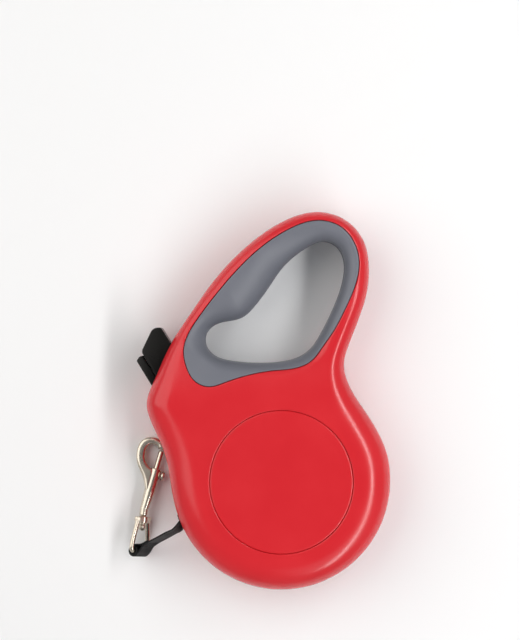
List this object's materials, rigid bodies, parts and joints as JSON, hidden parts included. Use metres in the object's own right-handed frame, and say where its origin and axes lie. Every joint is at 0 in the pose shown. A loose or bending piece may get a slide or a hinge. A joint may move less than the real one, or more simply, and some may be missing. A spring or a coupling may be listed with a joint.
{
  "type": "retractable dog leash",
  "caption": "Retractable tape leash: round reel casing with a closed loop handle, thumb brake button with a lock lever, and a swivel bolt snap hook on a flat tape lead.",
  "frame": {"origin": "the reel's axis where it meets the plane the casing lies on, on its back side", "axes": "+Z is the casing's thickness, up from the rest plane; +Y runs from the reel to the top of the loop handle; +X completes the frame, and the tape leaves on the -X side"},
  "size_m": [0.1202, 0.1713, 0.0341],
  "materials": {
    "casing_red": "satin moulded ABS",
    "grip_grey": "matt soft rubber",
    "black_plastic": "fine satin",
    "steel": "plain steel",
    "spring_steel": "blued strip and wire",
    "nickel": "bright nickel plate over die casting",
    "tape_black": "woven polyester tape with reflective threads",
    "inner_white": "natural moulded acetal"
  },
  "bodies": {
    "casing": {"shell_front": "casing_red", "shell_back": "casing_red", "cap_front": "casing_red", "cap_back": "casing_red", "grip_front": "grip_grey", "grip_back": "grip_grey", "case_screws": "steel", "axle": "steel", "axle_screw": "steel", "outlet_liner": "black_plastic", "lock_pin": "steel"},
    "reel": {"reel_drum": "inner_white", "ratchet_flange": "inner_white", "reel_hub": "inner_white", "spring_cover": "steel", "reel_washers": "steel", "tape_winding": "tape_black", "tape_anchor_pin": "steel", "power_spring": "spring_steel"},
    "lead": {"lead_tape": "tape_black"},
    "eye": {"swivel_eye": "nickel"},
    "hook": {"hook_body": "nickel", "bolt_spring": "spring_steel"},
    "bolt": {"hook_bolt": "nickel"},
    "brake": {"brake_button": "black_plastic", "brake_slide": "black_plastic", "brake_pawl": "steel", "brake_spring": "spring_steel"},
    "lock": {"lock_lever": "black_plastic"}
  },
  "joints": [
    {"name": "lead_pull", "type": "slide", "parent": "casing", "child": "lead", "axis": [-0.344, -0.939, 0], "range_m": [0, 0.19875], "stiffness_N_per_m": 6, "springref_m": -0.35},
    {"name": "reel_spin", "type": "hinge", "parent": "casing", "child": "reel", "pos_m": [0, 0, 0.017], "axis": [0, 0, 1], "range_deg": [0, 316], "deforming": ["power_spring"]},
    {"name": "brake_press", "type": "slide", "parent": "casing", "child": "brake", "axis": [0.525, -0.8511, 0], "range_m": [0, 0.005], "stiffness_N_per_m": 600, "springref_m": -0.004, "deforming": ["brake_spring"]},
    {"name": "lock_swing", "type": "hinge", "parent": "casing", "child": "lock", "pos_m": [-0.05447, 0.03925, 0.017], "axis": [0, 0, 1], "range_deg": [0, 8]},
    {"name": "eye_swing", "type": "hinge", "parent": "lead", "child": "eye", "pos_m": [-0.0655, -0.034, 0.007], "axis": [-0.4887, 0.1279, 0.8631], "range_deg": [0, 100]},
    {"name": "hook_spin", "type": "hinge", "parent": "eye", "child": "hook", "pos_m": [-0.06427, -0.02321, 0.0061], "axis": [0.1128, 0.9902, -0.0828], "continuous": true},
    {"name": "bolt_slide", "type": "slide", "parent": "hook", "child": "bolt", "axis": [-0.2836, -0.9555, 0.0816], "range_m": [0, 0.006], "stiffness_N_per_m": 300, "springref_m": -0.004, "deforming": ["bolt_spring"]}
  ],
  "couplings": [
    {"joint": "reel_spin", "follows": "lead_pull", "rad_per_m": 27.663}
  ]
}
